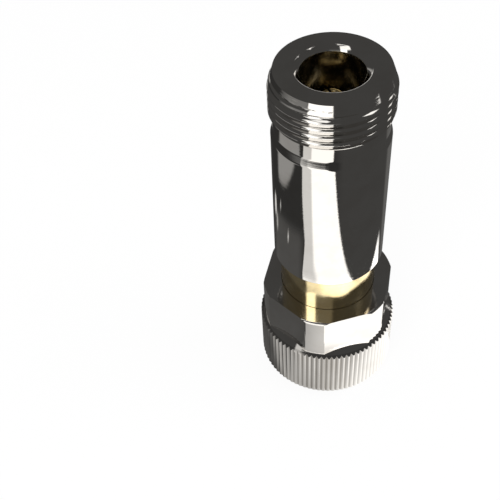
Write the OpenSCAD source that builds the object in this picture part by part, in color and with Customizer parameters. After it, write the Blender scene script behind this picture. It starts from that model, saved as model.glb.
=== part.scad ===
// Coaxial adapter: N jack at the top, 7 mm sexless precision connector at the bottom.
// Millimetres. The origin is the centre of the 7 mm mating plane and +Z points to the N jack.

/* [Overall] */
// Length from the 7 mm mating plane to the face of the N jack
overall_len = 55; // [52:0.5:75]
// Radial clearance between pieces that are fixed to each other
slip = 0.02; // [0.01:0.01:0.04]
// Radial clearance between pieces that turn or slide
run = 0.08; // [0.05:0.01:0.1]

/* [N jack] */
// Outside diameter of the 5/8-24 thread
n_thread_d = 15.8; // [15.6:0.05:16]
// Length of the thread with its lead-in cone
n_thread_len = 6.4; // [5:0.1:8]
// Diameter of the flat front face
n_face_d = 14.4; // [13.4:0.1:15]
// Length of the lead-in cone
n_lead_len = 2; // [0.5:0.1:2.5]
// Diameter of the relief groove behind the thread
n_relief_d = 14.6; // [13.6:0.1:15]
// Length of the relief groove
n_relief_len = 1.9; // [1:0.1:3]
// Length of the cone between the groove and the barrel
n_shoulder_len = 0.9; // [0.4:0.1:1.5]
// Bore that takes the plug's outer contact
n_bore_d = 8.1; // [7.9:0.05:8.4]
// Depth of the reference plane behind the face
n_plane_depth = 9.1; // [8:0.1:10]
// Diameter of the countersunk mouth
n_mouth_d = 9.5; // [8.8:0.1:9.8]
// Depth of the countersunk mouth
n_mouth_len = 0.6; // [0.3:0.1:1]
// Depth of the socket's tip behind the face
n_tip_depth = 4.1; // [3.5:0.1:5]
// Bore of the socket
n_pin_d = 1.65; // [1.5:0.05:1.8]
// Depth of the socket's bore
n_pin_len = 6.2; // [5.5:0.1:7]
// Number of slots in the socket
n_slots = 4; // [2:2:6]
// Width of a slot in the socket
n_slot_w = 0.35; // [0.2:0.05:0.4]
// Length of a slot in the socket
n_slot_len = 4.7; // [3:0.1:5.4]

/* [Barrel] */
// Diameter of the barrel
barrel_d = 15.35; // [15.2:0.05:18]
// Length of the barrel
barrel_len = 21.6; // [19:0.1:24]
// Chamfer on the lower edge of the barrel
barrel_edge = 0.15; // [0.05:0.05:0.4]

/* [Coaxial line] */
// Inner diameter of the outer conductor
line_d = 7; // [6.6:0.1:7.2]
// Diameter of the centre conductor
contact_d = 3.04; // [2.9:0.02:3.2]
// Outer diameter of the outer conductor at the mating plane
ring_d = 8.87; // [8.6:0.01:9.2]
// Outer diameter of the outer conductor inside the body
tube_d = 9.9; // [9.6:0.1:10.1]
// Outer diameter of the insert in the N jack
insert_d = 10.4; // [10.2:0.1:10.8]
// Diameter of the stepped spigots that join the centre conductor
spigot_d = 1.6; // [1.2:0.1:1.8]
// Length of the stepped spigots
spigot_len = 3.2; // [2:0.1:3.6]
// Room behind a spigot in its hole
spigot_gap = 0.3; // [0.1:0.1:0.5]
// Solid metal between a spigot's hole and the groove for the N bead
rod_web = 0.5; // [0.4:0.1:1]
// Solid metal between the bore for the collet's spring and a spigot's hole
contact_web = 3.5; // [2:0.5:5]
// Thickness of the bead at the N end
n_bead_len = 2; // [1.5:0.1:3]
// Depth of the grooves that hold a bead
bead_grip = 0.4; // [0.2:0.05:0.5]

/* [7 mm face] */
// Thickness of the face plate
plate_len = 1.6; // [1.4:0.1:2.2]
// Length of the plate's spigot
plate_spigot_len = 3.4; // [2.5:0.1:4]
// Diameter of the plate's spigot
plate_spigot_d = 12; // [11.6:0.1:12.2]
// Thickness of the flange that the plate clamps
clamp_len = 1.5; // [1:0.1:2]
// Diameter of the two spanner holes
spanner_d = 1.9; // [1.4:0.1:2]
// Circle on which the spanner holes lie
spanner_pcd = 12; // [11.4:0.1:12.2]
// Depth of the spanner holes
spanner_depth = 1.2; // [0.6:0.1:1.3]
// Front bead: how far it lies behind the mating plane
front_bead_setback = 0.6; // [0.3:0.1:1]
// Front bead: thickness
front_bead_len = 2.4; // [1.5:0.1:3]

/* [Collet] */
// Diameter of the collet
collet_d = 2.2; // [2:0.05:2.4]
// Length of the collet
collet_len = 3; // [2.6:0.1:3.4]
// Bore of the collet
collet_bore_d = 0.8; // [0.6:0.05:1]
// Number of slots in the collet
collet_slots = 6; // [4:2:8]
// Width of a slot in the collet
collet_slot_w = 0.18; // [0.1:0.02:0.24]
// Length of a slot in the collet
collet_slot_len = 2; // [1.4:0.1:2.2]
// Wire of the collet's spring
spring_wire_d = 0.24; // [0.16:0.02:0.3]
// Length of the spring
spring_len = 2; // [1.6:0.1:2.6]
// Turns of the spring
spring_turns = 5; // [3:1:6]

/* [Body] */
// Diameter of the gold neck
neck_d = 13.6; // [13.2:0.1:13.9]
// Diameter of the guide that the coupling sleeve slides on
guide_d = 14.6; // [14.3:0.1:14.8]
// Diameter of the flange that the nut pulls on
flange_d = 15.4; // [15.2:0.1:15.8]
// Thickness of the flange
flange_len = 1.4; // [1:0.1:2]
// Thickness of the thrust washer
washer_len = 0.5; // [0.3:0.1:0.8]
// Wire of the snap ring
snap_wire_d = 0.9; // [0.6:0.05:1]
// Gap between the ends of the snap ring
snap_gap_angle = 30; // [15:5:60]
// Diameter of the spigot inside the barrel
joint_d = 12.6; // [12.2:0.1:12.8]
// Length of the spigot inside the barrel
joint_len = 6.8; // [5:0.1:9]

/* [Coupling nut] */
// How far the rim lies behind the mating plane
nut_setback = 1.4; // [1:0.1:2]
// Length of the nut
nut_len = 16.4; // [15.8:0.1:17.5]
// Width across the flats of the hexagon
hex_af = 17.9; // [17.8:0.1:18.6]
// Diameter to which the corners of the hexagon are turned
hex_corner_d = 19.2; // [18.8:0.1:19.8]
// Chamfer on the back edge of the hexagon
hex_edge = 0.45; // [0.2:0.05:0.7]
// Diameter over the knurl
knurl_d = 20.4; // [20:0.1:22]
// Length of the knurl up to the conical shoulder
knurl_len = 8.7; // [8.4:0.1:9.2]
// Depth of the knurl
knurl_depth = 0.3; // [0.15:0.05:0.35]
// Teeth that a full turn of the knurl would have
knurl_teeth = 84; // [60:4:88]
// Angle of the plain land that interrupts the knurl
land_angle = 46; // [20:2:90]
// Direction of the middle of the plain land
land_at = 73; // [0:1:359]
// Chamfer on the rim
rim_edge = 0.36; // [0.16:0.05:0.46]
// Diameter of the countersunk opening in the rim
rim_open_d = 17.6; // [17.3:0.1:18]
// Thickness of the nut's back wall
nut_wall = 2.85; // [2.2:0.05:3.2]

/* [Coupling sleeve] */
// Outside diameter of the 11/16-24 thread
sleeve_thread_d = 17.46; // [17.3:0.02:17.7]
// Length of the sleeve
sleeve_len = 7; // [6.4:0.1:7.2]
// How far the retracted sleeve lies behind the rim
sleeve_setback = 1.1; // [0.9:0.1:1.4]
// Diameter of the key pins
key_d = 1; // [0.8:0.05:1.1]
// Metal in front of the sleeve's key slots
key_web = 1.1; // [0.9:0.1:1.3]

/* [Hidden] */
$fn = 96;
eps = 0.5;                                   // overshoot of a cut past its solid
pitch = 25.4 / 24;

// stations along the axis, from the mating plane upwards
sleeve_front = nut_setback + sleeve_setback;
sleeve_back = sleeve_front + sleeve_len;
nut_back = nut_setback + nut_len;
nut_seat = nut_back - nut_wall;
flange_top = nut_seat - run - washer_len;
snap_at = nut_back - nut_wall / 2;
barrel_top = overall_len - n_thread_len - n_relief_len - n_shoulder_len;
barrel_bottom = barrel_top - barrel_len;
joint_top = barrel_bottom + joint_len;
n_plane = overall_len - n_plane_depth;
n_tip = overall_len - n_tip_depth;
insert_top = overall_len - n_mouth_len;
clamp_bottom = plate_len + plate_spigot_len;
clamp_top = clamp_bottom + clamp_len;
bore_floor = collet_len + spring_len;        // of the front contact
rod_bottom = bore_floor + contact_web + spigot_gap + spigot_len;
rod_top = joint_top + n_bead_len + rod_web + spigot_gap + spigot_len;
key_at = sleeve_front + key_web + key_d / 2 + run;

// fits
thread_play = run / 2;
thread_mid_d = sleeve_thread_d - 0.65 * pitch;   // where the two threads meet
nut_hole_d = neck_d + 2 * run;
key_top = thread_mid_d / 2 - 3 * run;
hex_side = hex_af / sqrt(3);
shoulder_top_d = hex_af - 1;

module ring(z0, z1, outer, inner) {
    translate([0, 0, z0])
        difference() {
            cylinder(d = outer, h = z1 - z0);
            translate([0, 0, -eps]) cylinder(d = inner, h = z1 - z0 + 2 * eps);
        }
}

module rod(z0, z1, d) {
    translate([0, 0, z0]) cylinder(d = d, h = z1 - z0);
}

module taper(z0, z1, d0, d1) {
    translate([0, 0, z0]) cylinder(d1 = d0, d2 = d1, h = z1 - z0);
}

// grooves of a 60 degree thread from its front z1 back to z0, with a ring for each turn
module thread_grooves(d, z0, z1) {
    depth = 0.6134 * pitch;
    brim = 7 / 16 * pitch;                   // half of a groove's width at the crest
    foot = brim - depth * tan(30);
    play = 0.1;
    for (turn = [1 : round((z1 - z0) / pitch)])
        translate([0, 0, z1 + brim - turn * pitch])
            rotate_extrude()
                polygon([
                    [d / 2 - depth, -foot], [d / 2, -brim], [d / 2 + play, -brim],
                    [d / 2 + play, brim], [d / 2, brim], [d / 2 - depth, foot]
                ]);
}

// slots across a contact, from z0 to z1, evenly spaced
module slots(count, width, reach, z0, z1) {
    for (i = [0 : count - 1])
        rotate([0, 0, i * 360 / count])
            translate([0, -width / 2, z0]) cube([reach, width, z1 - z0]);
}

// outer shell: thread, relief groove and plain barrel in one piece
module n_shell() {
    thread_top = overall_len - n_lead_len;
    thread_bottom = overall_len - n_thread_len;
    relief_bottom = thread_bottom - n_relief_len;
    mouth_slope = (n_mouth_d - n_bore_d) / n_mouth_len / 2;
    color("gainsboro")
        difference() {
            union() {
                taper(thread_top, overall_len, n_thread_d, n_face_d);
                rod(thread_bottom, thread_top, n_thread_d);
                rod(relief_bottom, thread_bottom, n_relief_d);
                taper(barrel_top, relief_bottom, barrel_d, n_relief_d);
                rod(barrel_bottom + barrel_edge, barrel_top, barrel_d);
                taper(barrel_bottom, barrel_bottom + barrel_edge,
                    barrel_d - 2 * barrel_edge, barrel_d);
            }
            thread_grooves(n_thread_d, thread_bottom, thread_top);
            taper(insert_top, overall_len + eps, n_bore_d, n_mouth_d + 2 * eps * mouth_slope);
            rod(joint_top, insert_top, insert_d + 2 * slip);
            rod(barrel_bottom - eps, joint_top + 0.5, joint_d + 2 * slip);
        }
}

// gold insert: bore for the plug, reference plane and the end of the line
module n_insert() {
    color("gold")
        difference() {
            rod(joint_top, insert_top, insert_d);
            rod(n_plane, insert_top + eps, n_bore_d);
            rod(joint_top + n_bead_len, n_plane + eps, line_d);
            rod(joint_top - eps, joint_top + n_bead_len, line_d + 2 * bead_grip + 2 * slip);
        }
}

module n_bead() {
    color("ivory")
        ring(joint_top, joint_top + n_bead_len, line_d + 2 * bead_grip,
            contact_d - 2 * bead_grip + 2 * slip);
}

// slotted socket that takes the pin of an N plug
module n_socket() {
    tip_edge = 0.15;
    color("goldenrod")
        difference() {
            union() {
                rod(rod_top, n_tip - tip_edge, contact_d);
                taper(n_tip - tip_edge, n_tip, contact_d, contact_d - 2 * tip_edge);
                rod(rod_top - spigot_len, rod_top + 0.1, spigot_d);
            }
            rod(n_tip - n_pin_len, n_tip + eps, n_pin_d);
            slots(n_slots, n_slot_w, contact_d, n_tip - n_slot_len, n_tip + eps);
        }
}

// centre conductor between the two contacts, with a groove under the N bead
module centre_rod() {
    hole_d = spigot_d + 2 * slip;
    color("goldenrod")
        difference() {
            union() {
                rod(rod_bottom, rod_top, contact_d);
                rod(rod_bottom - spigot_len, rod_bottom + 0.1, spigot_d);
            }
            rod(rod_top - spigot_len - spigot_gap, rod_top + eps, hole_d);
            ring(joint_top, joint_top + n_bead_len, contact_d + 2 * eps,
                contact_d - 2 * bead_grip);
        }
}

// gold body: guide for the sleeve, flange, neck and the spigot that the shell screws on
module main_body() {
    color("gold")
        difference() {
            union() {
                rod(plate_len, flange_top, guide_d);
                rod(flange_top - flange_len, flange_top, flange_d);
                rod(flange_top - 0.1, barrel_bottom, neck_d);
                rod(barrel_bottom - 0.1, joint_top, joint_d);
            }
            rod(plate_len - eps, clamp_top, plate_spigot_d + 2 * slip);
            rod(clamp_top - 0.1, joint_top + eps, tube_d + 2 * slip);
            snap_groove(snap_wire_d + 2 * slip);
            for (side = [0, 180])
                rotate([0, 0, side]) key_bar(key_d + 2 * slip, guide_d);
        }
}

module snap_groove(wire) {
    translate([0, 0, snap_at])
        rotate_extrude() translate([neck_d / 2, 0]) circle(d = wire, $fn = 32);
}

module key_bar(d, reach) {
    start = plate_spigot_d / 2 + 2 * slip;
    translate([start, 0, key_at]) rotate([0, 90, 0]) cylinder(d = d, h = reach - start);
}

// silver plate that closes the 7 mm face, with two blind holes for a pin spanner
module face_plate() {
    plate_edge = 0.2;
    color("silver")
        difference() {
            union() {
                taper(0, plate_edge, guide_d - 2 * plate_edge, guide_d);
                rod(plate_edge, plate_len, guide_d);
                rod(plate_len - 0.1, clamp_bottom, plate_spigot_d);
            }
            rod(-eps, clamp_bottom + eps, ring_d + 2 * slip);
            for (side = [-1, 1])
                translate([side * spanner_pcd / 2, 0, -eps])
                    cylinder(d = spanner_d, h = spanner_depth + eps, $fn = 48);
        }
}

// outer conductor from the mating plane to the N bead
module line_tube() {
    color("gold")
        difference() {
            union() {
                rod(0, clamp_bottom, ring_d);
                rod(clamp_bottom, clamp_top, plate_spigot_d);
                rod(clamp_top - 0.1, joint_top, tube_d);
            }
            rod(-eps, joint_top + eps, line_d);
            rod(front_bead_setback, front_bead_setback + front_bead_len,
                line_d + 2 * bead_grip + 2 * slip);
        }
}

module front_bead() {
    color("peru")
        ring(front_bead_setback, front_bead_setback + front_bead_len, line_d + 2 * bead_grip,
            contact_d + 2 * slip);
}

// centre contact of the 7 mm end, bored for the collet and its spring
module front_contact() {
    contact_edge = 0.1;
    color("rosybrown")
        difference() {
            union() {
                taper(0, contact_edge, contact_d - 2 * contact_edge, contact_d);
                rod(contact_edge, rod_bottom, contact_d);
            }
            rod(-eps, bore_floor, collet_d + 2 * run);
            rod(rod_bottom - spigot_len - spigot_gap, rod_bottom + eps, spigot_d + 2 * slip);
        }
}

// slotted collet, flush with the mating plane as it is when the connector stands or is mated
module collet() {
    nose = 0.12;
    color("rosybrown")
        difference() {
            union() {
                taper(0, nose, collet_d - 2 * nose, collet_d);
                rod(nose, collet_len, collet_d);
            }
            rod(-eps, collet_slot_len + 0.3, collet_bore_d);
            slots(collet_slots, collet_slot_w, collet_d, -eps, collet_slot_len);
        }
}

// closed tube swept along a helix
module helix_wire(z0, z1, mean_d, wire, turns, sides = 8, steps = 14) {
    count = turns * steps;
    rise = (z1 - z0 - wire) / count;
    points = [for (i = [0 : count], k = [0 : sides - 1])
        let (a = 360 * i / steps, b = 360 * k / sides, r = mean_d / 2 + wire / 2 * cos(b))
        [r * cos(a), r * sin(a), z0 + wire / 2 + rise * i + wire / 2 * sin(b)]];
    walls = [for (i = [0 : count - 1], k = [0 : sides - 1])
        let (m = (k + 1) % sides, p = i * sides, q = p + sides)
        [p + k, q + k, q + m, p + m]];
    ends = [[for (k = [0 : sides - 1]) k],
        [for (k = [0 : sides - 1]) count * sides + sides - 1 - k]];
    polyhedron(points, concat(walls, ends));
}

module collet_spring() {
    color("darkgray")
        helix_wire(collet_len, bore_floor, collet_d - spring_wire_d - 2 * run,
            spring_wire_d, spring_turns);
}

// pin that keeps the sleeve from turning
module key_pin(side) {
    color("dimgray") rotate([0, 0, side]) key_bar(key_d, key_top);
}

module thrust_washer() {
    color("whitesmoke")
        ring(flange_top, flange_top + washer_len, flange_d - 0.1, neck_d + 2 * slip);
}

// round wire that holds the nut on the neck
module snap_ring() {
    color("dimgray")
        translate([0, 0, snap_at])
            rotate_extrude(angle = 360 - snap_gap_angle, start = snap_gap_angle / 2)
                translate([neck_d / 2, 0]) circle(d = snap_wire_d, $fn = 32);
}

// distance round the circle from the middle of the plain land
function off_land(a) = abs((a - land_at + 540) % 360 - 180);

// turned blank of the front end: rim chamfer, cylinder and conical shoulder
module turned_blank() {
    tip = knurl_d / 2;
    shoulder_len = tip - shoulder_top_d / 2;
    rotate_extrude()
        polygon([[0, 0], [tip - rim_edge, 0], [tip, rim_edge], [tip, knurl_len],
            [shoulder_top_d / 2, knurl_len + shoulder_len], [0, knurl_len + shoulder_len]]);
}

// square groove of the straight knurl, its point at the root
module knurl_groove() {
    root = knurl_d / 2 - knurl_depth;
    reach = knurl_depth + 0.2;
    translate([0, 0, -eps])
        linear_extrude(knurl_len + knurl_depth + 2 * eps)
            polygon([[root, 0], [root + reach, -reach], [root + reach, reach]]);
}

// knurl that stops at the plain land
module knurled_end() {
    tooth_angle = 360 / knurl_teeth;
    translate([0, 0, nut_setback])
        difference() {
            turned_blank();
            for (a = [tooth_angle / 2 : tooth_angle : 360])
                if (off_land(a) > (land_angle + tooth_angle) / 2)
                    rotate([0, 0, a]) knurl_groove();
        }
}

// hexagon with its corners turned down and its back edge chamfered
module hexagon_end() {
    intersection() {
        rod(nut_setback + knurl_len - 1, nut_back, 2 * hex_side, $fn = 6);
        union() {
            rod(nut_setback + knurl_len - 1, nut_back - hex_edge, hex_corner_d);
            taper(nut_back - hex_edge, nut_back, hex_corner_d, hex_corner_d - 2 * hex_edge);
        }
    }
}

module coupling_nut() {
    thread_end = sleeve_back + 0.2;
    thread_d = thread_mid_d + 2 * thread_play;
    open_len = (rim_open_d - thread_d + thread_play) / 2;
    color("gainsboro")
        difference() {
            union() {
                knurled_end();
                hexagon_end();
            }
            taper(nut_setback - eps, nut_setback + open_len, rim_open_d + 2 * eps,
                thread_d - thread_play);
            rod(nut_setback, thread_end, thread_d);
            rod(thread_end - 0.1, nut_seat, flange_d + 4 * run);
            rod(nut_seat - 0.1, nut_back + eps, nut_hole_d);
            snap_groove(snap_wire_d + 2 * run);
        }
}

// threaded sleeve that the nut drives out of the connector, keyed to the body
module coupling_sleeve() {
    sleeve_edge = 0.25;
    slot_w = key_d + 2 * run;
    color("silver")
        difference() {
            union() {
                taper(sleeve_front, sleeve_front + sleeve_edge,
                    thread_mid_d - 2 * sleeve_edge, thread_mid_d);
                rod(sleeve_front + sleeve_edge, sleeve_back, thread_mid_d);
            }
            rod(sleeve_front - eps, sleeve_back + eps, guide_d + 2 * run);
            for (side = [0, 180])
                rotate([0, 0, side]) {
                    translate([0, 0, key_at]) rotate([0, 90, 0]) cylinder(d = slot_w, h = knurl_d);
                    translate([0, -slot_w / 2, key_at])
                        cube([knurl_d, slot_w, sleeve_back - key_at + eps]);
                }
        }
}

n_shell();
n_insert();
n_bead();
n_socket();
centre_rod();
main_body();
face_plate();
line_tube();
front_bead();
front_contact();
collet();
collet_spring();
key_pin(0);  // key_pin_1
key_pin(180);  // key_pin_2
thrust_washer();
snap_ring();
coupling_nut();
coupling_sleeve();
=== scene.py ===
import math

import bmesh
import bpy
from mathutils import Matrix, Vector


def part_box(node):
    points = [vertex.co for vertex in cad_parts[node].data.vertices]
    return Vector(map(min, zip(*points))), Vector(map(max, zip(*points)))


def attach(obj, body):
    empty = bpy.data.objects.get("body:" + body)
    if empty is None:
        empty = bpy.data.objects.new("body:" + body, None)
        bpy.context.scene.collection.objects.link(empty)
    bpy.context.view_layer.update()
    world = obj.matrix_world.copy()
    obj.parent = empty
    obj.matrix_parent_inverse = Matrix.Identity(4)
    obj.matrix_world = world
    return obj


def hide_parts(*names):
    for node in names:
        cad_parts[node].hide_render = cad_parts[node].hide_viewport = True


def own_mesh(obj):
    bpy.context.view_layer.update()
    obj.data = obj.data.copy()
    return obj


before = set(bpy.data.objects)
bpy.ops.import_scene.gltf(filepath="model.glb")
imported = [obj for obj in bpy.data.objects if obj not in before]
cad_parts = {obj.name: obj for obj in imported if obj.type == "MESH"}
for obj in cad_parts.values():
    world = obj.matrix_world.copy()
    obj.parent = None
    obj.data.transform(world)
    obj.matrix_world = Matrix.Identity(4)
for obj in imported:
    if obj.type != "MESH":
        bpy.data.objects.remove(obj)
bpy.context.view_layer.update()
mm = 0.001
turnSteps = 192  # facets round a turned piece
arcSteps = 3  # facets round a small rounding
sameSpot = 1e-7  # metres: corners closer than this are one
sharpFrom = 32  # degrees: flatter edges are shaded smooth
past = 0.5  # by which a cutter passes what it cuts
pitch = 25.4 / 24  # both threads have 24 turns to the inch
threadForm = dict(slope=math.tan(math.radians(30)), ease=0.035, easeSlope=0.6)  # flanks and roundings


# what the frame says, in millimetres
def radiusOf(node):
    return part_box(node)[1].x / mm


def bottomOf(node):
    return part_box(node)[0].z / mm


def topOf(node):
    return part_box(node)[1].z / mm


def openOutline(bm, outline, closed=True):
    # outline of (radius, height, rounding); its last edge stays out where something else closes it
    corners = [bm.verts.new((r * mm, 0, z * mm)) for r, z, _ in outline]
    bm.faces.new(corners)
    closing = bm.edges.get((corners[-1], corners[0]))
    for corner, (_, _, rounding) in zip(corners, outline):
        if rounding:
            bmesh.ops.bevel(bm, geom=[corner], offset=rounding * mm, affect="VERTICES",
                segments=arcSteps, profile=0.5, material=-1)
    bmesh.ops.delete(bm, geom=bm.faces[:], context="FACES_ONLY")
    if not closed:
        bmesh.ops.delete(bm, geom=[closing], context="EDGES")


def turned(outline, closed=True):
    bm = bmesh.new()
    openOutline(bm, outline, closed)
    bmesh.ops.spin(bm, geom=bm.verts[:] + bm.edges[:], cent=(0, 0, 0), axis=(0, 0, 1),
        angle=math.tau, steps=turnSteps, use_merge=True)
    bmesh.ops.remove_doubles(bm, verts=bm.verts[:], dist=sameSpot)
    bmesh.ops.delete(bm, geom=[e for e in bm.edges if closed and not e.link_faces], context="EDGES")
    return bm


def along(points, z):
    # radius at height z on a broken line of (height, radius)
    for (z0, r0), (z1, r1) in zip(points, points[1:]):
        if z <= z1:
            return r0 + (r1 - r0) * (z - z0) / (z1 - z0)
    return points[-1][1]


def addPart(bm, part):
    # moves what another bmesh holds into this one
    mesh = bpy.data.meshes.new("part")
    part.to_mesh(mesh)
    part.free()
    count = len(bm.verts)
    bm.from_mesh(mesh)
    bpy.data.meshes.remove(mesh)
    bm.verts.ensure_lookup_table()
    return bm.verts[count:]


def threadRidge(thread):
    # one turn's outline, as (height from the middle of its crest, radius)
    crest, root = thread["crest"], thread["root"]
    flat = thread["crestFlat"] / 2
    foot = flat + abs(crest - root) * threadForm["slope"]
    ease = threadForm["ease"]
    rise = math.copysign(ease, crest - root)
    share = threadForm["easeSlope"]
    half = [(foot, root), (foot - ease, root + rise * share), (flat + ease * share, crest - rise),
        (flat / 2, crest)]
    return [(-z, r) for z, r in half] + half[::-1]


def addThread(bm, thread, limits, inside=False):
    # a ridge swept along a helix and turned down to the limits; the groove runs out on the shelf
    bottom, top = limits[0][0], limits[-1][0]
    first = math.floor((bottom - thread["crestAt"]) / pitch) - 1
    last = math.ceil((top - thread["crestAt"]) / pitch) + 1
    wall = bmesh.new()
    strand = [wall.verts.new((r * mm, 0, (thread["crestAt"] + turn * pitch + dz) * mm))
        for turn in range(first, last + 1) for dz, r in threadRidge(thread)]
    for pair in zip(strand, strand[1:]):
        wall.edges.new(pair)
    bmesh.ops.subdivide_edges(wall, edges=wall.edges[:], cuts=1)
    bmesh.ops.spin(wall, geom=wall.verts[:] + wall.edges[:], cent=(0, 0, 0), axis=(0, 0, 1),
        dvec=(0, 0, pitch * mm / turnSteps), angle=math.tau, steps=turnSteps)
    for v in wall.verts:
        v.co.z = min(max(v.co.z, bottom * mm), top * mm)
        limit = along(limits, v.co.z / mm) * mm
        radius = cut = math.hypot(v.co.x, v.co.y)
        if "shelf" in thread:
            cut = max(cut, along(thread["shelf"], v.co.z / mm) * mm)
        cut = max(cut, limit) if inside else min(cut, limit)
        v.co.x *= cut / radius
        v.co.y *= cut / radius
    addPart(bm, wall)
    bmesh.ops.remove_doubles(bm, verts=bm.verts[:], dist=20 * sameSpot)
    bmesh.ops.dissolve_degenerate(bm, edges=bm.edges[:], dist=10 * sameSpot)


def addPeg(bm, radius, length, sides, lying=False):
    # a round bar on the axis, or lying along x
    peg = bmesh.ops.create_cone(bm, cap_ends=True, segments=sides, radius1=radius * mm,
        radius2=radius * mm, depth=length * mm)["verts"]
    if lying:
        bmesh.ops.rotate(bm, cent=(0, 0, 0), matrix=Matrix.Rotation(math.pi / 2, 3, "Y"), verts=peg)
    return peg


def slotCutter(count, width, reach, bottom, top):
    # bars across the axis, one for each pair of opposite slots
    bm = bmesh.new()
    for i in range(count // 2):
        bar = bmesh.ops.create_cube(bm, size=1)["verts"]
        bmesh.ops.scale(bm, vec=Vector((2 * reach, width, top - bottom)) * mm, verts=bar)
        bmesh.ops.translate(bm, vec=(0, 0, (top + bottom) / 2 * mm), verts=bar)
        bmesh.ops.rotate(bm, cent=(0, 0, 0), matrix=Matrix.Rotation(i * math.tau / count, 3, "Z"), verts=bar)
    return bm


def meshFrom(bm, name):
    bmesh.ops.recalc_face_normals(bm, faces=bm.faces[:])
    mesh = bpy.data.meshes.new(name)
    bm.to_mesh(mesh)
    bm.free()
    piece = bpy.data.objects.new(name, mesh)
    bpy.context.scene.collection.objects.link(piece)
    return piece


def join(piece, tool, operation="DIFFERENCE"):
    # the Boolean's result becomes the piece's mesh
    step = piece.modifiers.new(operation.lower(), "BOOLEAN")
    step.operation = operation
    step.solver = "EXACT"
    step.object = tool
    bpy.context.view_layer.update()
    made = bpy.data.meshes.new_from_object(piece.evaluated_get(bpy.context.evaluated_depsgraph_get()))
    piece.modifiers.clear()
    piece.data = made
    bpy.data.objects.remove(tool)


def finished(piece, material, body, nodes):
    bm = bmesh.new()
    bm.from_mesh(piece.data)
    bmesh.ops.remove_doubles(bm, verts=bm.verts[:], dist=sameSpot)
    bmesh.ops.recalc_face_normals(bm, faces=bm.faces[:])
    for face in bm.faces:
        face.smooth = True
    for edge in bm.edges:
        edge.smooth = edge.is_manifold and edge.calc_face_angle(0) < math.radians(sharpFrom)
    bm.to_mesh(piece.data)
    bm.free()
    piece.data.materials.clear()
    piece.data.materials.append(material)
    normals = piece.modifiers.new("weighted normals", "WEIGHTED_NORMAL")
    normals.keep_sharp = True
    normals.weight = 90
    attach(piece, body)
    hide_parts(*nodes)
    return piece


class Shading:
    # a node tree, and short ways to work numbers out in it

    def __init__(self, owner):
        owner.use_nodes = True
        self.owner = owner
        self.nodes = owner.node_tree.nodes
        self.links = owner.node_tree.links

    def value(self, operation, *inputs):
        step = self.nodes.new("ShaderNodeMath")
        step.operation = operation
        for socket, given in zip(step.inputs, inputs):
            if isinstance(given, (int, float)):
                socket.default_value = given
            else:
                self.links.new(given, socket)
        return step.outputs[0]

    def chain(self, operation, parts):
        total = parts[0]
        for part in parts[1:]:
            total = self.value(operation, total, part)
        return total

    def plus(self, *parts):
        return self.chain("ADD", parts)

    def times(self, *parts):
        return self.chain("MULTIPLY", parts)

    def largest(self, *parts):
        return self.chain("MAXIMUM", parts)

    def smallest(self, *parts):
        return self.chain("MINIMUM", parts)

    def minus(self, first, second):
        return self.value("SUBTRACT", first, second)

    def across(self, x, y, direction):
        # distance from the axis in one direction
        return self.plus(self.times(x, direction[0]), self.times(y, direction[1]))

    def length(self, x, y):
        return self.value("SQRT", self.plus(self.times(x, x), self.times(y, y)))

    def spread(self, source, low, high, toLow, toHigh, smooth=True):
        # toLow below low, toHigh above high, and even or eased between them
        step = self.nodes.new("ShaderNodeMapRange")
        step.interpolation_type = "SMOOTHSTEP" if smooth else "LINEAR"
        for socket, given in zip(("From Min", "From Max", "To Min", "To Max"), (low, high, toLow, toHigh)):
            step.inputs[socket].default_value = given
        self.links.new(source, step.inputs["Value"])
        return step.outputs["Result"]

    def rising(self, source, at, soft):
        return self.spread(source, at - soft / 2, at + soft / 2, 0, 1)

    def falling(self, source, at, soft):
        return self.spread(source, at - soft / 2, at + soft / 2, 1, 0)

    def within(self, source, low, high, soft):
        # 1 between low and high
        return self.times(self.rising(source, low, soft), self.falling(source, high, soft))

    def noise(self, source, scale, detail, roughness, flat=False):
        step = self.nodes.new("ShaderNodeTexNoise")
        step.noise_dimensions = "2D" if flat else "3D"
        step.inputs["Scale"].default_value = scale
        step.inputs["Detail"].default_value = detail
        step.inputs["Roughness"].default_value = roughness
        self.links.new(source, step.inputs["Vector"])
        return step.outputs["Fac"]

    def mixed(self, first, second, share):
        tone = self.nodes.new("ShaderNodeMix")
        tone.data_type = "RGBA"
        tone.inputs["A"].default_value = (*first, 1)
        tone.inputs["B"].default_value = (*second, 1)
        self.links.new(share, tone.inputs["Factor"])
        return tone.outputs["Result"]

    def bump(self, height, strength, under=None):
        step = self.nodes.new("ShaderNodeBump")
        step.inputs["Strength"].default_value = strength
        step.inputs["Distance"].default_value = 0.01 * mm
        self.links.new(height, step.inputs["Height"])
        if under:
            self.links.new(under, step.inputs["Normal"])
        return step.outputs[0]

    def place(self):
        # object coordinates, whole and as x, y, z
        whole = self.nodes.new("ShaderNodeTexCoord").outputs["Object"]
        parts = self.nodes.new("ShaderNodeSeparateXYZ")
        self.links.new(whole, parts.inputs[0])
        return whole, *parts.outputs

    def lathe(self):
        # object coordinates, the radius, and (radius, height), on which a cutter's marks run round the axis
        whole, x, y, z = self.place()
        radius = self.length(x, y)
        ring = self.nodes.new("ShaderNodeCombineXYZ")
        self.links.new(radius, ring.inputs["X"])
        self.links.new(z, ring.inputs["Y"])
        return whole, radius, ring.outputs[0]


# the last pair sets how far below its inner radius the painted shade of the knurl's grooves fades in
metalForm = dict(toneAt=(0.35, 0.62), hazeAt=(0.3, 0.7), marksAt=(0.35, 0.75), marksShare=0.6, speckScale=14,
    creaseFrom=(-0.2, -0.1))


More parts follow.
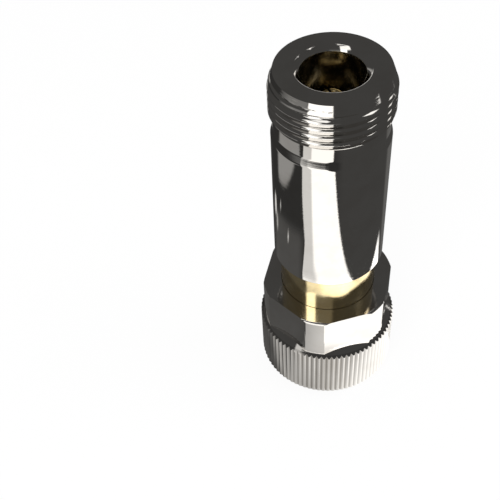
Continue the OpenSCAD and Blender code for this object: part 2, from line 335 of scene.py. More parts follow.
def turnedMetal(name):
    finish = finishes[name]
    metal = Shading(bpy.data.materials.new(name))
    shader = metal.nodes["Principled BSDF"]
    place, radius, ring = metal.lathe()
    marks = metal.noise(ring, finish["markScale"], 4, 0.6, flat=True)
    cloud = metal.noise(place, finish["cloudScale"], 5, 0.6)
    specks = metal.noise(place, finish["cloudScale"] * metalForm["speckScale"], 2, 0.5)
    colour = metal.mixed(finish["shade"], finish["colour"], metal.spread(cloud, *metalForm["toneAt"], 0, 1))
    if "crease" in finish:
        # painted shade: darker between two radii, where the bottoms of the knurl's grooves lie
        inner, outer, depth = finish["crease"]
        begin, full = metalForm["creaseFrom"]
        grooveShadeMask = metal.times(metal.spread(radius, inner * mm, outer * mm, 1, 0),
            metal.spread(radius, (inner + begin) * mm, (inner + full) * mm, 0, 1, smooth=False))
        shaded = metal.nodes.new("ShaderNodeHueSaturation")
        metal.links.new(colour, shaded.inputs["Color"])
        metal.links.new(metal.spread(grooveShadeMask, 0, 1, 1, depth, smooth=False), shaded.inputs["Value"])
        colour = shaded.outputs["Color"]
    metal.links.new(colour, shader.inputs["Base Color"])
    shader.inputs["Metallic"].default_value = 1
    low, high = finish["roughness"]
    haze = metal.plus(metal.spread(cloud, *metalForm["hazeAt"], low, high, smooth=False),
        metal.spread(marks, *metalForm["marksAt"], 0, (high - low) * metalForm["marksShare"], smooth=False))
    metal.links.new(haze, shader.inputs["Roughness"])
    shader.inputs["Anisotropic"].default_value = finish["grain"]
    if finish["grain"]:
        tangent = metal.nodes.new("ShaderNodeTangent")
        tangent.direction_type = "RADIAL"
        tangent.axis = "Z"
        metal.links.new(tangent.outputs[0], shader.inputs["Tangent"])
    grooved = metal.bump(marks, finish["markDepth"])
    metal.links.new(metal.bump(specks, finish["pitDepth"], grooved), shader.inputs["Normal"])
    return metal.owner


plasticForm = dict(toneAt=(0.3, 0.7), markScale=9000, markDepth=0.1)


def mouldedPlastic(name):
    finish = finishes[name]
    plastic = Shading(bpy.data.materials.new(name))
    shader = plastic.nodes["Principled BSDF"]
    place, _, ring = plastic.lathe()
    cloud = plastic.noise(place, finish["cloudScale"], 4, 0.55)
    marks = plastic.noise(ring, plasticForm["markScale"], 3, 0.5, flat=True)
    tone = plastic.spread(cloud, *plasticForm["toneAt"], 0, 1, smooth=False)
    plastic.links.new(plastic.mixed(finish["shade"], finish["colour"], tone), shader.inputs["Base Color"])
    haze = plastic.spread(marks, *plasticForm["toneAt"], *finish["roughness"], smooth=False)
    plastic.links.new(haze, shader.inputs["Roughness"])
    shader.inputs["IOR"].default_value = finish["ior"]
    plastic.links.new(plastic.bump(marks, plasticForm["markDepth"]), shader.inputs["Normal"])
    return plastic.owner


finishes = {
    "polishedNickel": dict(colour=(0.84, 0.82, 0.79), shade=(0.79, 0.765, 0.73), roughness=(0.012, 0.045),
        markScale=3500, markDepth=0.3, pitDepth=0.05, cloudScale=260, grain=0),
    "paleGold": dict(colour=(0.80, 0.74, 0.60), shade=(0.68, 0.61, 0.47), roughness=(0.1, 0.2),
        markScale=15000, markDepth=0.2, pitDepth=0.08, cloudScale=350, grain=0),
    "satinSilver": dict(colour=(0.80, 0.79, 0.77), shade=(0.74, 0.73, 0.70), roughness=(0.26, 0.36),
        markScale=14000, markDepth=0.35, pitDepth=0.12, cloudScale=400, grain=0.5),
    "polishedGold": dict(colour=(0.95, 0.79, 0.46), shade=(0.88, 0.70, 0.37), roughness=(0.08, 0.15),
        markScale=15000, markDepth=0.2, pitDepth=0.08, cloudScale=350, grain=0),
    "pinkGold": dict(colour=(0.86, 0.58, 0.47), shade=(0.74, 0.46, 0.36), roughness=(0.16, 0.26),
        markScale=15000, markDepth=0.2, pitDepth=0.1, cloudScale=500, grain=0),
    "springSteel": dict(colour=(0.48, 0.47, 0.45), shade=(0.38, 0.37, 0.36), roughness=(0.22, 0.34),
        markScale=12000, markDepth=0.2, pitDepth=0.15, cloudScale=400, grain=0),
    "amberBead": dict(colour=(0.13, 0.05, 0.022), shade=(0.085, 0.03, 0.014), roughness=(0.2, 0.34),
        cloudScale=500, ior=1.6),
    "whiteBead": dict(colour=(0.80, 0.79, 0.75), shade=(0.72, 0.70, 0.66), roughness=(0.35, 0.5),
        cloudScale=500, ior=1.4),
}
# the nut's nickel, with painted shade in the bottoms of the knurl's grooves
finishes["knurledNickel"] = dict(finishes["polishedNickel"], crease=(9.86, 10.06, 0.7))

polishedNickel = turnedMetal("polishedNickel")
knurledNickel = turnedMetal("knurledNickel")
paleGold = turnedMetal("paleGold")
satinSilver = turnedMetal("satinSilver")
polishedGold = turnedMetal("polishedGold")
pinkGold = turnedMetal("pinkGold")
springSteel = turnedMetal("springSteel")
amberBead = mouldedPlastic("amberBead")
whiteBead = mouldedPlastic("whiteBead")
print("finishes made")


shell = dict(thread=dict(crest=radiusOf("n_shell"), root=radiusOf("n_shell") - 0.65, crestFlat=pitch / 8,
        crestAt=53.12, shelf=[(0, 0), (53.85, 7.25), (54.35, 7.5), (60, 7.5)]),
    face=7.2, lead=2.0, threadLength=6.4, relief=7.4, reliefLength=1.95, cone=1.1, barrel=7.675,
    mouth=4.75, mouthDepth=0.6, bore=4.05, insertFit=5.22, jointFit=6.32, jointLength=7.3, edge=0.15)


def makeShell():
    top, bottom = topOf("n_shell"), bottomOf("n_shell")
    threadEnd = top - shell["threadLength"]
    reliefEnd = threadEnd - shell["reliefLength"]
    barrelTop = reliefEnd - shell["cone"]
    jointEnd, mouthEnd = bottom + shell["jointLength"], top - shell["mouthDepth"]
    relief, barrel, crest = shell["relief"], shell["barrel"], shell["thread"]["crest"]
    bm = turned([(relief, threadEnd, 0), (relief, reliefEnd, 0.12), (barrel, barrelTop, 0.15),
        (barrel, bottom + shell["edge"], 0.05), (barrel - shell["edge"], bottom, 0.05),
        (shell["jointFit"], bottom, 0.05), (shell["jointFit"], jointEnd, 0),
        (shell["insertFit"], jointEnd, 0),
        (shell["insertFit"], mouthEnd, 0), (shell["bore"], mouthEnd, 0.04), (shell["mouth"], top, 0.06),
        (shell["face"], top, 0)], closed=False)
    addThread(bm, shell["thread"], [(threadEnd, relief), (threadEnd + crest - relief, crest),
        (top - shell["lead"], crest), (top, shell["face"])])
    return finished(meshFrom(bm, "shell"), polishedNickel, "adapter", ["n_shell"])


makeShell()
print("shell made")


insert = dict(outer=5.2, bore=4.05, line=3.5, plane=9.1, bead=2.0, groove=3.92)


def makeInsert():
    top, bottom = topOf("n_insert"), bottomOf("n_insert")
    plane, beadTop = topOf("n_shell") - insert["plane"], bottom + insert["bead"]
    bm = turned([(insert["outer"], bottom, 0.05), (insert["outer"], top, 0.02), (insert["bore"], top, 0.02),
        (insert["bore"], plane, 0.1), (insert["line"], plane, 0.05), (insert["line"], beadTop, 0),
        (insert["groove"], beadTop, 0), (insert["groove"], bottom, 0.03)])
    return finished(meshFrom(bm, "insert"), paleGold, "adapter", ["n_insert"])


socket = dict(bore=0.825, boreDepth=6.2, borePoint=0.3, spigot=0.8, spigotLength=3.2, tip=0.25,
    slots=4, slotWidth=0.35, slotLength=4.7)


def makeSocket():
    outer, bottom, top = radiusOf("n_socket"), bottomOf("n_socket"), topOf("n_socket")
    shoulder = bottom + socket["spigotLength"]
    floor = top - socket["boreDepth"]
    bm = turned([(0, bottom, 0), (socket["spigot"], bottom, 0.05), (socket["spigot"], shoulder, 0),
        (outer, shoulder, 0.05), (outer, top, socket["tip"]), (socket["bore"], top, 0.12),
        (socket["bore"], floor, 0), (0, floor - socket["borePoint"], 0)])
    piece = meshFrom(bm, "socket")
    slotFloor = top - socket["slotLength"]
    cutter = slotCutter(socket["slots"], socket["slotWidth"], outer + past, slotFloor, top + past)
    join(piece, meshFrom(cutter, "cutter"))
    return finished(piece, polishedGold, "adapter", ["n_socket"])


makeInsert()
makeSocket()
print("insert and socket made")


# channels of the snap ring, half in the body's neck and half in the nut
snap = dict(at=16.375, inNeck=0.47, inNut=0.5, floorShare=0.4, rounding=0.15)


def snapChannel(radius, depth, edge):
    # its outline from below; a negative depth cuts towards the axis
    half, at, rounding = abs(depth), snap["at"], snap["rounding"]
    floor = half * snap["floorShare"]
    return [(radius, at - half, edge), (radius + depth, at - floor, rounding),
        (radius + depth, at + floor, rounding), (radius, at + half, edge)]


body = dict(guide=7.3, spigotFit=6.02, spigotDepth=6.5, tubeFit=4.97, flange=7.7, flangeTop=14.37,
    flangeLength=1.4, neck=6.82, neckTop=24.2, joint=6.3, pinFit=0.52, pinAt=4.18)


def makeBody():
    bottom, top = bottomOf("main_body"), topOf("main_body")
    neckBottom, guideTop = body["flangeTop"], body["flangeTop"] - body["flangeLength"]
    bm = turned([(body["spigotFit"], bottom, 0.03), (body["guide"], bottom, 0.03),
        (body["guide"], guideTop, 0.05), (body["flange"], guideTop, 0.08),
        (body["flange"], neckBottom, 0.08), (body["neck"], neckBottom, 0.05),
        *snapChannel(body["neck"], -snap["inNeck"], 0.02), (body["neck"], body["neckTop"], 0),
        (body["joint"], body["neckTop"], 0.05), (body["joint"], top, 0.08),
        (body["tubeFit"], top, 0.03), (body["tubeFit"], body["spigotDepth"], 0),
        (body["spigotFit"], body["spigotDepth"], 0)])
    piece = meshFrom(bm, "body")
    holes = bmesh.new()
    pin = addPeg(holes, body["pinFit"], 2 * (body["guide"] + past), 32, lying=True)
    bmesh.ops.translate(holes, vec=(0, 0, body["pinAt"] * mm), verts=pin)
    join(piece, meshFrom(holes, "cutter"))
    return finished(piece, polishedGold, "adapter", ["main_body"])


plate = dict(outer=7.3, edge=0.2, length=1.6, spigot=6.0, bore=4.455, hole=0.95, holeDepth=1.2, holesAt=6.0,
    holeEdge=0.07, nearRim=0.01)


def breakHoleEdges(piece):
    bm = bmesh.new()
    bm.from_mesh(piece.data)
    near = plate["nearRim"] * mm

    def onRim(v):
        fromHole = math.hypot(abs(v.co.x) - plate["holesAt"] * mm, v.co.y)
        return abs(v.co.z) < near and abs(fromHole - plate["hole"] * mm) < near

    bmesh.ops.bevel(bm, geom=[e for e in bm.edges if all(onRim(v) for v in e.verts)],
        offset=plate["holeEdge"] * mm, affect="EDGES", segments=2, profile=0.5, material=-1)
    bm.to_mesh(piece.data)
    bm.free()


def makePlate():
    top = topOf("face_plate")
    bm = turned([(plate["bore"], 0, 0.05), (plate["outer"], 0, plate["edge"]),
        (plate["outer"], plate["length"], 0.03), (plate["spigot"], plate["length"], 0.03),
        (plate["spigot"], top, 0.05), (plate["bore"], top, 0.05)])
    piece = meshFrom(bm, "facePlate")
    holes = bmesh.new()
    for side in (-1, 1):
        drill = addPeg(holes, plate["hole"], 2 * plate["holeDepth"], 48)
        bmesh.ops.translate(holes, vec=(side * plate["holesAt"] * mm, 0, 0), verts=drill)
    join(piece, meshFrom(holes, "cutter"))
    breakHoleEdges(piece)
    return finished(piece, satinSilver, "adapter", ["face_plate"])


tube = dict(ring=4.435, line=3.5, clamp=6.0, clampBottom=5.0, clampTop=6.5, outer=4.95,
    beadAt=0.6, beadTop=3.0, groove=3.92)


def makeTube():
    top = topOf("line_tube")
    bm = turned([(tube["line"], 0, 0.05), (tube["ring"], 0, 0.06), (tube["ring"], tube["clampBottom"], 0),
        (tube["clamp"], tube["clampBottom"], 0.05), (tube["clamp"], tube["clampTop"], 0.05),
        (tube["outer"], tube["clampTop"], 0), (tube["outer"], top, 0.03), (tube["line"], top, 0.03),
        (tube["line"], tube["beadTop"], 0), (tube["groove"], tube["beadTop"], 0),
        (tube["groove"], tube["beadAt"], 0), (tube["line"], tube["beadAt"], 0.02)])
    return finished(meshFrom(bm, "lineTube"), polishedGold, "adapter", ["line_tube"])


frontBead = dict(outer=3.9, bore=1.54, outerEdge=0.04, boreEdge=0.03)


def makeFrontBead():
    bottom, top = bottomOf("front_bead"), topOf("front_bead")
    bore, boreEdge = frontBead["bore"], frontBead["boreEdge"]
    outer, outerEdge = frontBead["outer"], frontBead["outerEdge"]
    bm = turned([(bore, bottom, boreEdge), (outer, bottom, outerEdge), (outer, top, outerEdge),
        (bore, top, boreEdge)])
    return finished(meshFrom(bm, "frontBead"), amberBead, "adapter", ["front_bead"])


contact = dict(bore=1.18, boreDepth=5.0, borePoint=0.3, edge=0.12,
    spigotBore=0.82, spigotDepth=3.5, spigotPoint=0.25)


def makeContact():
    outer, top = radiusOf("front_contact"), topOf("front_contact")
    spigotFloor = top - contact["spigotDepth"]
    bm = turned([(contact["bore"], 0, 0.05), (outer, 0, contact["edge"]), (outer, top, 0.03),
        (contact["spigotBore"], top, 0.03), (contact["spigotBore"], spigotFloor, 0),
        (0, spigotFloor - contact["spigotPoint"], 0), (0, contact["boreDepth"] + contact["borePoint"], 0),
        (contact["bore"], contact["boreDepth"], 0)])
    return finished(meshFrom(bm, "frontContact"), pinkGold, "adapter", ["front_contact"])


collet = dict(bore=0.4, boreDepth=2.3, borePoint=0.15, nose=0.14, slots=6, slotWidth=0.18, slotLength=2.0)


def makeCollet():
    outer, top = radiusOf("collet"), topOf("collet")
    bm = turned([(collet["bore"], 0, 0.06), (outer, 0, collet["nose"]), (outer, top, 0.04), (0, top, 0),
        (0, collet["boreDepth"] + collet["borePoint"], 0), (collet["bore"], collet["boreDepth"], 0)])
    piece = meshFrom(bm, "collet_fingers")
    cutter = slotCutter(collet["slots"], collet["slotWidth"], outer + past, -past, collet["slotLength"])
    join(piece, meshFrom(cutter, "cutter"))
    return finished(piece, pinkGold, "collet", ["collet"])


spring = dict(wire=0.24, turns=5, steps=28, sides=12, travel=0.3)


def makeSpring():
    # it shortens by the collet's travel when that is pressed in
    bottom, top = bottomOf("collet_spring"), topOf("collet_spring")
    half, count = spring["wire"] / 2, spring["turns"] * spring["steps"]
    bm = bmesh.new()
    ring = bmesh.ops.create_circle(bm, segments=spring["sides"], radius=half * mm)["verts"]
    bmesh.ops.rotate(bm, cent=(0, 0, 0), matrix=Matrix.Rotation(math.pi / 2, 3, "X"), verts=ring)
    start = Vector((radiusOf("collet_spring") - half, 0, bottom + half)) * mm
    bmesh.ops.translate(bm, vec=start, verts=ring)
    bmesh.ops.spin(bm, geom=bm.verts[:] + bm.edges[:], cent=(0, 0, 0), axis=(0, 0, 1),
        dvec=(0, 0, (top - bottom - 2 * half) / count * mm), angle=math.tau * spring["turns"], steps=count)
    bmesh.ops.holes_fill(bm, edges=[e for e in bm.edges if e.is_boundary], sides=spring["sides"])
    piece = finished(meshFrom(bm, "springWire"), springSteel, "adapter", ["collet_spring"])
    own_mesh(piece)
    return piece


makeBody()
makePlate()
makeTube()
makeFrontBead()
makeContact()
makeCollet()
makeSpring()
print("body and 7 mm face made")


# the sleeve's slots are pegs through its wall, each with its upper half drawn out past the back
sleeve = dict(thread=dict(crest=8.70, root=8.08, crestFlat=pitch / 8, crestAt=5.0), inner=7.38, lead=8.03,
    slot=0.58, slotAt=8, slotDepth=4, slotRise=8)


def makeSleeve():
    bottom, top = bottomOf("coupling_sleeve"), topOf("coupling_sleeve")
    inner, lead, crest = sleeve["inner"], sleeve["lead"], sleeve["thread"]["crest"]
    bm = turned([(lead, top, 0), (inner, top, 0.04), (inner, bottom, 0.08), (lead, bottom, 0)], closed=False)
    addThread(bm, sleeve["thread"], [(bottom, lead), (bottom + crest - lead, crest),
        (top - crest + lead, crest), (top, lead)])
    piece = meshFrom(bm, "sleeve")
    slots = bmesh.new()
    for side in (-1, 1):
        peg = addPeg(slots, sleeve["slot"], sleeve["slotDepth"], 48, lying=True)
        upper = [v for v in peg if v.co.z > 0]
        bmesh.ops.translate(slots, vec=(0, 0, sleeve["slotRise"] * mm), verts=upper)
        bmesh.ops.translate(slots, vec=(side * sleeve["slotAt"] * mm, 0, body["pinAt"] * mm), verts=peg)
    join(piece, meshFrom(slots, "cutter"))
    return finished(piece, polishedNickel, "sleeve", ["coupling_sleeve"])


nut = dict(threadCrest=8.16, threadRoot=8.765, threadPlay=0.045, threadEnd=9.7,
    knurl=10.12, knurlRoot=9.84, knurlLength=8.7, knurlRings=(2, 5), rim=9.8, coneRing=9.3, shoulder=8.45,
    teeth=84, toothArcs=2, landFrom=45.0, plainTeeth=13, landArcs=28,
    hexagonFrom=7.5, flats=8.95, corners=9.6, backEdge=0.25,
    opening=8.8, cavity=7.86, seat=14.95, hole=6.86, holeEdge=0.02)


def knurlTooth(halfAngle, arcs):
    # one tooth of the knurl from groove to groove, with the rim's chamfer below and the cone above
    rim, root, tip = nut["rim"], nut["knurlRoot"], nut["knurl"]
    middle = (root + tip) / 2
    bottom = bottomOf("coupling_nut")
    coneTop = bottom + nut["knurlLength"] + tip
    rows = [(bottom + r - rim, r) for r in (rim, root, middle, tip)]
    rows += [(bottom + height, tip) for height in nut["knurlRings"]]
    rows += [(coneTop - r, r) for r in (tip, middle, root, nut["coneRing"], nut["shoulder"])]
    tooth = bmesh.new()
    columns = arcs + 2
    bmesh.ops.create_grid(tooth, x_segments=columns, y_segments=len(rows) - 1, size=1)
    for v in tooth.verts:
        column = round((v.co.x + 1) / 2 * columns)
        z, r = rows[round((v.co.y + 1) / 2 * (len(rows) - 1))]
        crestAngle = halfAngle - max(r - root, 0) / r
        angle = (column - 1) / arcs * 2 * crestAngle - crestAngle
        if column in (0, columns):
            r = min(r, root)
            angle = math.copysign(halfAngle, column - 1)
        v.co = (r * math.cos(angle) * mm, r * math.sin(angle) * mm, z * mm)
    return tooth


def addTurned(bm, part, angle, copies=0, step=0):
    # the part is turned into place about the axis and repeated round it
    new = addPart(bm, part)
    bmesh.ops.rotate(bm, cent=(0, 0, 0), matrix=Matrix.Rotation(angle, 3, "Z"), verts=new)
    if copies:
        held = set(new)
        geom = new + [g for g in bm.edges[:] + bm.faces[:] if g.verts[0] in held]
        bmesh.ops.spin(bm, geom=geom, cent=(0, 0, 0), axis=(0, 0, 1), angle=copies * step, steps=copies,
            use_duplicate=True)


def closeEnds(bm):
    bmesh.ops.remove_doubles(bm, verts=bm.verts[:], dist=sameSpot)
    bmesh.ops.dissolve_degenerate(bm, edges=bm.edges[:], dist=sameSpot)
    bmesh.ops.holes_fill(bm, edges=[e for e in bm.edges if e.is_boundary], sides=0)


def makeKnurledEnd():
    step = math.tau / nut["teeth"]
    plain = nut["plainTeeth"] * step
    start = math.radians(nut["landFrom"])
    bm = bmesh.new()
    addTurned(bm, knurlTooth(step / 2, nut["toothArcs"]), start + plain + step / 2,
        nut["teeth"] - nut["plainTeeth"] - 1, step)
    addTurned(bm, knurlTooth(plain / 2, nut["landArcs"]), start + plain / 2)
    closeEnds(bm)
    return meshFrom(bm, "nut")


def makeHexagon():
    bottom, top = bottomOf("coupling_nut") + nut["hexagonFrom"], topOf("coupling_nut")
    corners, backEdge = nut["corners"], nut["backEdge"]
    bm = turned([(0, bottom, 0), (corners, bottom, 0), (corners, top - backEdge, 0.1),
        (corners - backEdge, top, 0.05), (0, top, 0)])
    for i in range(6):
        angle = math.radians(30 + 60 * i)
        out = Vector((math.cos(angle), math.sin(angle), 0))
        bmesh.ops.bisect_plane(bm, geom=bm.verts[:] + bm.edges[:] + bm.faces[:], dist=sameSpot / 10,
            plane_co=out * nut["flats"] * mm, plane_no=out, clear_outer=True)
        bmesh.ops.holes_fill(bm, edges=[e for e in bm.edges if e.is_boundary], sides=0)
    return meshFrom(bm, "hexagon")


def nutThread():
    # its ridges lie midway between the sleeve's and fill the rest of the pitch but for the play
    driven = sleeve["thread"]
    overlap = (driven["crest"] - nut["threadCrest"]) * threadForm["slope"]
    return dict(crest=nut["threadCrest"], root=nut["threadRoot"], crestAt=driven["crestAt"] + pitch / 2,
        crestFlat=pitch - driven["crestFlat"] - 2 * (nut["threadPlay"] + overlap))


def makeBore():
    bottom, top = bottomOf("coupling_nut"), topOf("coupling_nut")
    crest, opening, hole = nut["threadCrest"], nut["opening"], nut["hole"]
    bm = turned([(crest, nut["threadEnd"], 0), (nut["cavity"], nut["threadEnd"], 0),
        (nut["cavity"], nut["seat"], 0.1), (hole, nut["seat"], 0), *snapChannel(hole, snap["inNut"], 0),
        (hole, top - nut["holeEdge"], 0), (hole + past + nut["holeEdge"], top + past, 0), (0, top + past, 0),
        (0, bottom - past, 0), (opening + past, bottom - past, 0), (opening, bottom, 0)], closed=False)
    addThread(bm, nutThread(), [(bottom, opening), (bottom + opening - crest, crest),
        (nut["threadEnd"], crest)], inside=True)
    return meshFrom(bm, "bore")


def makeNut():
    piece = makeKnurledEnd()
    join(piece, makeHexagon(), "UNION")
    join(piece, makeBore())
    return finished(piece, knurledNickel, "nut", ["coupling_nut"])


makeSleeve()
makeNut()
print("nut and sleeve made")


# nodes of the frame that keep their shape
kept = {"n_bead": whiteBead, "centre_rod": polishedGold, "key_pin_1": springSteel, "key_pin_2": springSteel,
    "thrust_washer": springSteel, "snap_ring": springSteel}
for node, material in kept.items():
    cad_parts[node].data.materials.clear()
    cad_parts[node].data.materials.append(material)


def staged(bm, name, material):
    thing = meshFrom(bm, name)
    thing.data.materials.append(material)
    return thing


def card(bm, shading, level):
    # a glowing surface that is only seen as a reflection
    shading.nodes.remove(shading.nodes["Principled BSDF"])
    glow = shading.nodes.new("ShaderNodeEmission")
    glow.inputs["Color"].default_value = (1, 0.985, 0.96, 1)
    shading.links.new(level, glow.inputs["Strength"])
    shading.links.new(glow.outputs[0], shading.nodes["Material Output"].inputs[0])
    thing = staged(bm, shading.owner.name, shading.owner)
    thing.visible_camera = thing.visible_diffuse = thing.visible_shadow = False
    thing.visible_transmission = thing.visible_volume_scatter = False


# the dark room with its lamps, each as azimuth from, to, elevation from, to, softness, strength
canopy = dict(radius=500, dark=0.055, seam=125, lamps=[
    (-149, -108, -8, 32, 3, 1.35), (-180, -149, -8, 9, 10, 0.14), (-162, -139, 48, 57, 4, 2.2),
    (-139, -96, 48, 57, 8, 0.13), (-158, -149, 29, 35, 3, 0.6), (-192, -130, 72, 84, 5, 1.1),
    (-178, -138, 57, 68, 4, 1.2), (-24, 0, 56, 68, 2.5, 1.2), (10, 28, 38, 44, 3, 1.1),
    (58, 96, -8, 29, 6, 0.8), (98, 118, -8, 14, 6, 0.3)])


def makeCanopy():
    sky = Shading(bpy.data.materials.new("canopy"))
    x, y, z = sky.place()[1:]
    azimuth = sky.value("DEGREES", sky.value("ARCTAN2", y, x))
    elevation = sky.value("DEGREES", sky.value("ARCTAN2", z, sky.length(x, y)))
    seam = canopy["seam"]  # no lamp crosses this azimuth
    wrapped = sky.minus(azimuth, sky.spread(azimuth, seam - 0.001, seam, 0, 360, smooth=False))
    level = canopy["dark"]
    for low, high, bottom, top, soft, strength in canopy["lamps"]:
        level = sky.plus(level, sky.times(sky.within(wrapped, low, high, soft),
            sky.within(elevation, bottom, top, soft), strength))
    bm = bmesh.new()
    bmesh.ops.create_uvsphere(bm, u_segments=64, v_segments=32, radius=canopy["radius"] * mm)
    card(bm, sky, level)


# What the metal sees of the table, in millimetres from the axis and degrees round it. Two numbers
# are an edge and its softness, three a stretch's ends and its softness, and four a slope's ends
# and the levels before and after it; rightNormal and corner are directions.
table = dict(radius=510, height=0.01, dark=(-25, 5, 0.03, 0.055),
    # sides of the lit table near the object; the left ones count up to the middle
    lit=(-161, 19, 2), upper=(-14, 2), corner=(0.802, -0.597), cornerEdge=(17.9, 0.5),
    rightNormal=(0.7885, -0.6152), right=(25.0, 0.4), middle=(-6, 4),
    leftSlope=0.867, leftOffset=12.8, leftFrom=-15.8, leftTo=-10.6, leftEdge=(0, 0.8),
    leftInside=(18.6, 0.6),
    # how bright it is for the knurl, for the nut's flats, and for the neck and barrel
    bright=1.3, knurlTo=(17.4, 0.8), knurlLeft=(-158, -140, 0.03, 0.36), knurlRight=(-125, -70, 0, 0.6),
    flatsTo=(24.1, 0.6), flatsLeft=(-142, -112, 0.34, 0.5), flatsRight=(-108, -102, 0, 1),
    whiteFrom=-19.5, whiteSlope=0.5, whiteCorner=-23, whiteFade=(0.5, 4.5, 0.54, 1),
    neckGain=(27.5, 29, 1.6, 1), barrelSide=(-15, 2), barrelBack=(7, 6), barrelBackTo=(32, 4),
    # the far table, with a dark ring, and its lit stretches with their strengths
    farFrom=(135, 50), farDark=(138, 262, 24),
    farLit=[((-147, -113, 4), 1), ((-4, 16, 4), 0.7), ((58, 96, 6), 0.6)],
    farLeft=(140, 213, 4), farLeftSlope=(140, 213, 0.02, 0.26),
    # a grey field at the left
    greyAzimuth=150, greyFrom=(47.2, 1.6), greyTo=(72, 6), greyStretch=(138, 202, 8), grey=0.27,
    # stretch, inner edge, outer edge, strength
    patches=[((323, 334, 3), (215, 20), (330, 30), 0.9), ((120, 200, 20), (-1, 1), (38, 4), 0.05),
        ((16, 60, 10), (24, 2), (62, 6), 0.07), ((62, 92, 6), (20, 4), (135, 50), 0.8)],
    # x, y, radius, strength
    spots=[(-34, 8, 1.6, 0.5), (-32.8, 24, 1.6, 0.5), (-20.5, 32.7, 4, 0.7), (-22, 27, 3, 0.3)],
    spotCore=0.4)


def litNear(shade, x, y, azimuth, reach, middle):
    # where the table near the object is lit
    leftEdge = shade.smallest(table["leftTo"], shade.largest(table["leftFrom"],
        shade.plus(table["leftOffset"], shade.times(x, table["leftSlope"]))))
    left = shade.largest(middle, shade.rising(shade.minus(leftEdge, y), *table["leftEdge"]),
        shade.falling(reach, *table["leftInside"]))
    right = shade.falling(shade.across(x, y, table["rightNormal"]), *table["right"])
    upper = shade.largest(shade.falling(azimuth, *table["upper"]),
        shade.rising(shade.across(x, y, table["corner"]), *table["cornerEdge"]))
    return shade.times(right, left, upper, shade.within(azimuth, *table["lit"]))


def toneNear(shade, x, y, azimuth, reach, middle):
    # how bright it is there
    knurl = shade.plus(shade.spread(azimuth, *table["knurlLeft"]),
        shade.spread(azimuth, *table["knurlRight"]))
    flats = shade.largest(shade.spread(azimuth, *table["flatsLeft"]),
        shade.spread(azimuth, *table["flatsRight"]))
    whiteEdge = shade.smallest(table["whiteFrom"], shade.plus(table["whiteFrom"],
        shade.times(shade.minus(x, table["whiteCorner"]), table["whiteSlope"])))
    white = shade.largest(middle, shade.spread(shade.minus(whiteEdge, y), *table["whiteFade"]))
    back = shade.times(shade.falling(reach, *table["barrelBackTo"]),
        shade.falling(azimuth, *table["barrelBack"]))
    barrel = shade.times(white, shade.spread(reach, *table["neckGain"]),
        shade.largest(shade.falling(azimuth, *table["barrelSide"]), back))
    pastKnurl = shade.rising(reach, *table["knurlTo"])
    pastFlats = shade.rising(reach, *table["flatsTo"])
    return shade.plus(shade.times(knurl, shade.minus(1, pastKnurl)),
        shade.times(flats, pastKnurl, shade.minus(1, pastFlats)), shade.times(barrel, pastFlats))


def makeTableCard():
    shade = Shading(bpy.data.materials.new("tableCard"))
    metresX, metresY = shade.place()[1:3]
    x, y = shade.value("DIVIDE", metresX, mm), shade.value("DIVIDE", metresY, mm)
    azimuth = shade.value("DEGREES", shade.value("ARCTAN2", y, x))
    around = shade.plus(azimuth, shade.spread(azimuth, -0.001, 0, 360, 0))  # from 0 to 360 degrees
    reach = shade.length(x, y)
    middle = shade.rising(x, *table["middle"])
    near = shade.times(litNear(shade, x, y, azimuth, reach, middle),
        toneNear(shade, x, y, azimuth, reach, middle))
    far = shade.times(shade.within(around, *table["farLeft"]), shade.spread(around, *table["farLeftSlope"]))
    for stretch, strength in table["farLit"]:
        far = shade.plus(far, shade.times(shade.within(azimuth, *stretch), strength))
    distant = shade.rising(reach, *table["farFrom"])
    field = shade.plus(shade.times(near, shade.minus(1, distant)),
        shade.times(far, distant, shade.minus(1, shade.within(reach, *table["farDark"]))))
    facing = math.radians(table["greyAzimuth"])
    beyond = shade.across(x, y, (math.cos(facing), math.sin(facing)))
    grey = shade.times(shade.rising(beyond, *table["greyFrom"]), shade.falling(reach, *table["greyTo"]),
        shade.within(around, *table["greyStretch"]), table["grey"])
    level = shade.plus(shade.spread(x, *table["dark"]), shade.times(field, table["bright"]), grey)
    for stretch, inner, outer, strength in table["patches"]:
        level = shade.plus(level, shade.times(shade.within(around, *stretch), shade.rising(reach, *inner),
            shade.falling(reach, *outer), strength))
    for spotX, spotY, size, strength in table["spots"]:
        apart = shade.length(shade.minus(x, spotX), shade.minus(y, spotY))
        spot = shade.spread(apart, size * table["spotCore"], size, 1, 0)
        level = shade.plus(level, shade.times(spot, strength))
    bm = bmesh.new()
    bmesh.ops.create_circle(bm, cap_ends=True, segments=96, radius=table["radius"] * mm)
    bmesh.ops.translate(bm, vec=(0, 0, table["height"] * mm), verts=bm.verts[:])
    card(bm, shade, level)


ground = dict(radius=3000, colour=(0.9, 0.9, 0.9), roughness=0.9, whiteShare=0.92)


def makeFloor():
    # the camera sees it nearly white, so that only a trace of shadow shows
    pale = Shading(bpy.data.materials.new("paleTable"))
    shader = pale.nodes["Principled BSDF"]
    shader.inputs["Base Color"].default_value = (*ground["colour"], 1)
    shader.inputs["Roughness"].default_value = ground["roughness"]
    shader.inputs["Specular IOR Level"].default_value = 0
    glow = pale.nodes.new("ShaderNodeEmission")
    blend = pale.nodes.new("ShaderNodeMixShader")
    path = pale.nodes.new("ShaderNodeLightPath")
    pale.links.new(pale.times(path.outputs["Is Camera Ray"], ground["whiteShare"]), blend.inputs[0])
    pale.links.new(shader.outputs[0], blend.inputs[1])
    pale.links.new(glow.outputs[0], blend.inputs[2])
    pale.links.new(blend.outputs[0], pale.nodes["Material Output"].inputs[0])
    bm = bmesh.new()
    bmesh.ops.create_circle(bm, cap_ends=True, segments=96, radius=ground["radius"] * mm)
    staged(bm, "floor", pale.owner)


studio = dict(lighting=0.7, seen=1)  # strength of the surroundings as light, and where they are seen


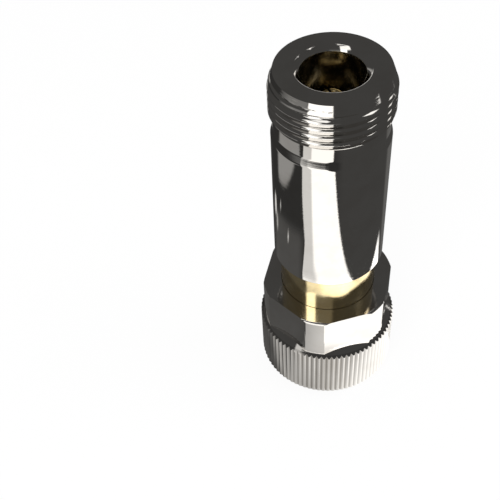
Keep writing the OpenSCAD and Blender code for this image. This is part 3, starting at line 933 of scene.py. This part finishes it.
def makeWorld():
    world = bpy.data.worlds.new("studio")
    bpy.context.scene.world = world
    room = Shading(world)
    back = room.nodes["Background"]
    back.inputs["Color"].default_value = (1, 1, 1, 1)
    path = room.nodes.new("ShaderNodeLightPath").outputs
    shown = room.largest(path["Is Camera Ray"], path["Is Glossy Ray"], path["Is Transmission Ray"])
    room.links.new(room.spread(shown, 0, 1, studio["lighting"], studio["seen"], smooth=False),
        back.inputs["Strength"])


lamps = [  # name, place and aim in millimetres, width, height in millimetres, power in watts
    ("keyLight", (-260, -330, 420), (0, 0, 25), 260, 260, 1.6),
    ("fillLight", (330, -120, 300), (0, 0, 25), 300, 300, 0.6)]


def makeLamps():
    for name, place, aim, width, height, power in lamps:
        lamp = bpy.data.lights.new(name, "AREA")
        lamp.shape = "RECTANGLE"
        lamp.size, lamp.size_y = width * mm, height * mm
        lamp.energy = power
        thing = bpy.data.objects.new(name, lamp)
        thing.location = Vector(place) * mm
        thing.rotation_mode = "QUATERNION"
        thing.rotation_quaternion = (Vector(aim) - Vector(place)).to_track_quat("-Z", "Y")
        thing.visible_glossy = False
        bpy.context.scene.collection.objects.link(thing)


shot = dict(place=(-29.82, -80.436, 118.024), aim=(-10.93, 2.619, 24.028), lean=4.109, lens=63.67, sensor=36,
    near=10, far=10000)


def makeCamera():
    camera = bpy.data.cameras.new("camera")
    camera.lens = shot["lens"]
    camera.sensor_width = shot["sensor"]
    camera.clip_start = shot["near"] * mm
    camera.clip_end = shot["far"] * mm
    thing = bpy.data.objects.new("camera", camera)
    place, aim = Vector(shot["place"]) * mm, Vector(shot["aim"]) * mm
    level = (aim - place).to_track_quat("-Z", "Y").to_matrix()
    turn = Matrix.Rotation(math.radians(-shot["lean"]), 3, "Z")
    thing.matrix_world = Matrix.Translation(place) @ (level @ turn).to_4x4()
    bpy.context.scene.collection.objects.link(thing)
    bpy.context.scene.camera = thing


makeCanopy()
makeTableCard()
makeFloor()
makeWorld()
makeLamps()
makeCamera()
bpy.context.scene.view_settings.view_transform = "Standard"
print("stage made")
